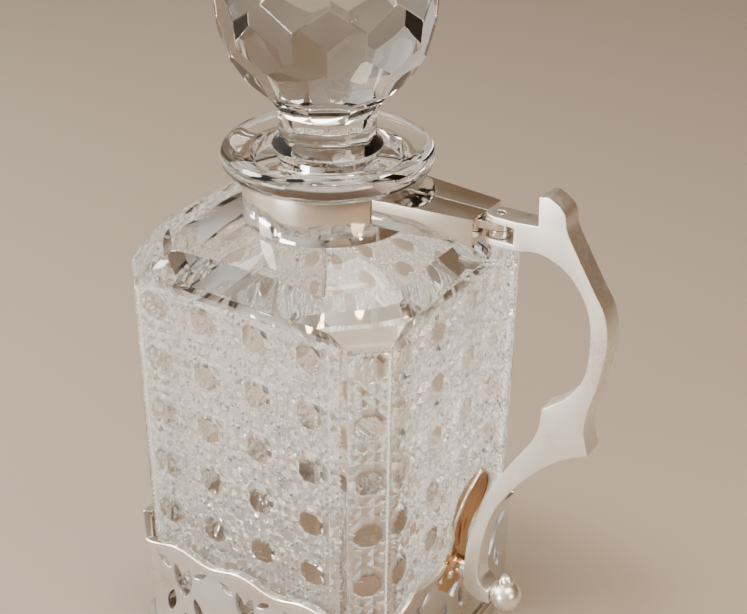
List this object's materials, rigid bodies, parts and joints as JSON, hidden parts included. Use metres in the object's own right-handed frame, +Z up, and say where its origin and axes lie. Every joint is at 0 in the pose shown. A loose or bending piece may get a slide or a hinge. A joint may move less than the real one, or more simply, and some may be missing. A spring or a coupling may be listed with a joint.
{
  "type": "decanter",
  "caption": "Square cut-glass decanter with a ball stopper, held in a pierced silver-plated gallery and handled stand by a hinged neck collar.",
  "frame": {"origin": "centre of the resting face under the bottle, on the plane the baize rests on", "axes": "+Z up along the bottle's axis; +X towards the handle; -Y is the flat face to the left of the handle when the handle is at the right"},
  "size_m": [0.1304, 0.0912, 0.2222],
  "materials": {
    "glass": "polished",
    "silver_plate": "polished",
    "baize": "matte",
    "lining": "matte"
  },
  "bodies": {
    "stand": {"bottle": "glass", "hinge_pin": "silver_plate", "handle": "silver_plate", "scroll_ball": "silver_plate", "handle_boss": "silver_plate", "handle_screw": "silver_plate", "leaf": "silver_plate", "leaf_rivets": "silver_plate", "gallery_near": "silver_plate", "gallery_far": "silver_plate", "gallery_handle_side": "silver_plate", "gallery_plain_side": "silver_plate", "gallery_corners": "silver_plate", "rim_lengths": "silver_plate", "rim_corners": "silver_plate", "base_plate": "silver_plate", "foot_rim": "silver_plate", "inner_pad": "lining", "base_baize": "baize"},
    "near_half": {"collar_near": "silver_plate", "liner_near": "lining"},
    "far_half": {"collar_far": "silver_plate", "liner_far": "lining", "catch_dowel": "silver_plate"},
    "stopper": {"stopper": "glass"}
  },
  "joints": [
    {"name": "near_half_hinge", "type": "hinge", "parent": "stand", "child": "near_half", "pos_m": [0.052, 0, 0.1479], "axis": [0, 0, 1], "range_deg": [0, 35]},
    {"name": "far_half_hinge", "type": "hinge", "parent": "stand", "child": "far_half", "pos_m": [0.052, 0, 0.1479], "axis": [0, 0, 1], "range_deg": [-35, 0]},
    {"name": "stopper_lift", "type": "slide", "parent": "stand", "child": "stopper", "axis": [0, 0, 1], "range_m": [0, 0.03]}
  ]
}
